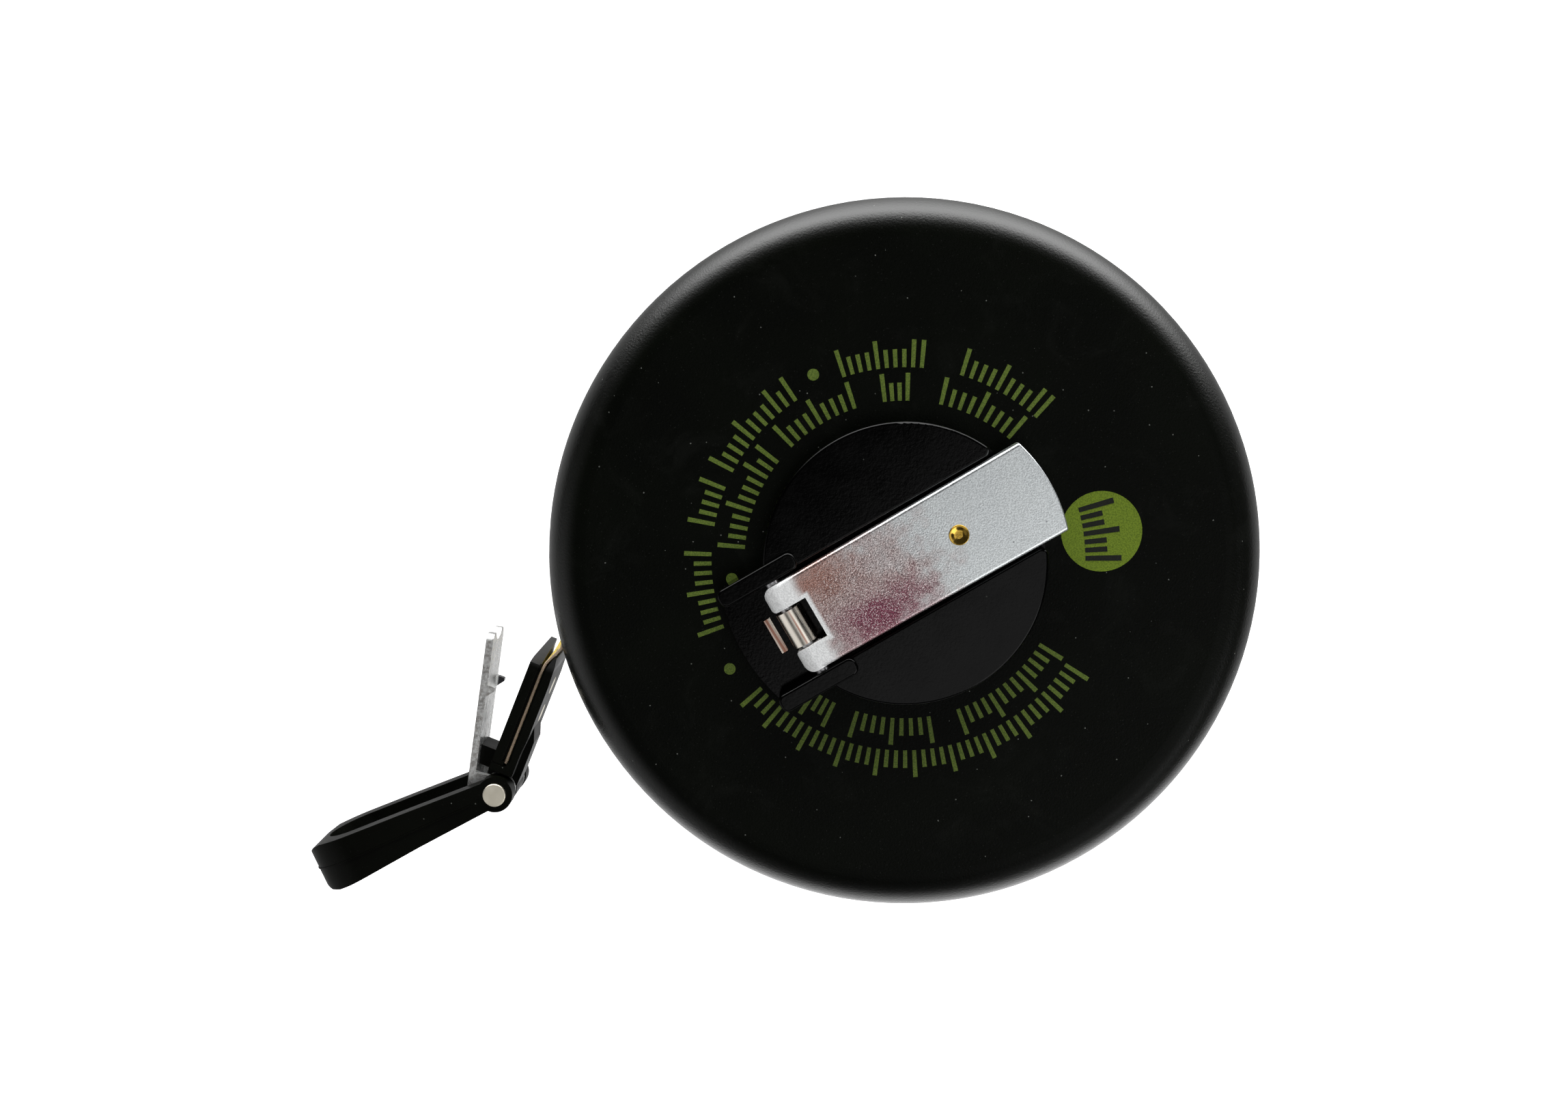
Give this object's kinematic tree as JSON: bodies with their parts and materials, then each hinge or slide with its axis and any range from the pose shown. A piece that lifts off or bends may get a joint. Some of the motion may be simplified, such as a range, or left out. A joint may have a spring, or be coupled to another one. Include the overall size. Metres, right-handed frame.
{
  "type": "closed reel tape measure",
  "caption": "Closed-reel long tape measure: round black case, folding steel winding crank, yellow fibreglass tape, end ring and folding claw.",
  "frame": {"origin": "where the spindle axis meets the plane of the flat back face", "axes": "+Z along the spindle, out of the crank side; the tape is pulled along -Y; the tape's mouth is on the -X side"},
  "size_m": [0.1191, 0.1327, 0.0314],
  "materials": {
    "case_plastic": "fine moulded grain, matte",
    "hub_plastic": "satin to gloss moulded black",
    "knob_plastic": "smooth moulded black",
    "drum_plastic": "natural moulded plastic",
    "fitting_plastic": "satin moulded black",
    "nylon": "natural nylon",
    "tape": "PVC-coated fibreglass",
    "zinc_plate": "satin zinc plating",
    "claw_plate": "bright zinc plating",
    "spring_steel": "plated spring steel",
    "screw_steel": "zinc-plated steel",
    "nickel": "nickel-plated steel",
    "brass": "polished brass"
  },
  "bodies": {
    "case": {"front_shell": "case_plastic", "back_shell": "case_plastic", "mouth_guide": "case_plastic", "case_screws": "screw_steel", "spindle": "screw_steel", "thrust_washer": "nylon", "spindle_circlip": "spring_steel"},
    "reel": {"reel_drum": "drum_plastic", "reel_screws": "screw_steel", "tape_roll": "tape", "tape_anchor": "drum_plastic", "winding_hub": "hub_plastic", "hinge_strap": "spring_steel", "crank_hinge_pin": "screw_steel"},
    "crank": {"crank_arm": "zinc_plate", "knob_rivet": "brass", "knob_washer": "screw_steel"},
    "knob": {"crank_knob": "knob_plastic"},
    "tape_end": {"clamp_left": "fitting_plastic", "clamp_right": "fitting_plastic", "clamp_rivets": "nickel", "end_pin": "nickel", "tape_lead": "tape"},
    "ring": {"end_ring": "fitting_plastic"},
    "claw": {"end_claw": "claw_plate"}
  },
  "joints": [
    {"name": "reel_spin", "type": "hinge", "parent": "case", "child": "reel", "pos_m": [0, 0, 0.0125], "axis": [0, 0, 1], "range_deg": [0, 360]},
    {"name": "tape_pull", "type": "slide", "parent": "case", "child": "tape_end", "axis": [0, -1, 0], "range_m": [0, 0.274], "deforming": ["tape_lead"]},
    {"name": "crank_fold", "type": "hinge", "parent": "reel", "child": "crank", "pos_m": [-0.01102, -0.0141, 0.0292], "axis": [0.788, -0.6157, 0], "range_deg": [0, 180]},
    {"name": "knob_spin", "type": "hinge", "parent": "crank", "child": "knob", "pos_m": [0.00537, 0.00688, 0.0235], "axis": [0, 0, 1], "continuous": true},
    {"name": "ring_swing", "type": "hinge", "parent": "tape_end", "child": "ring", "pos_m": [-0.04325, -0.05598, 0.0125], "axis": [0, 0, 1], "range_deg": [-58, 120]},
    {"name": "claw_swing", "type": "hinge", "parent": "tape_end", "child": "claw", "pos_m": [-0.04325, -0.05598, 0.0125], "axis": [0, 0, 1], "range_deg": [0, 95]}
  ],
  "couplings": [
    {"joint": "tape_pull", "follows": "reel_spin", "m_per_rad": 0.04355}
  ]
}
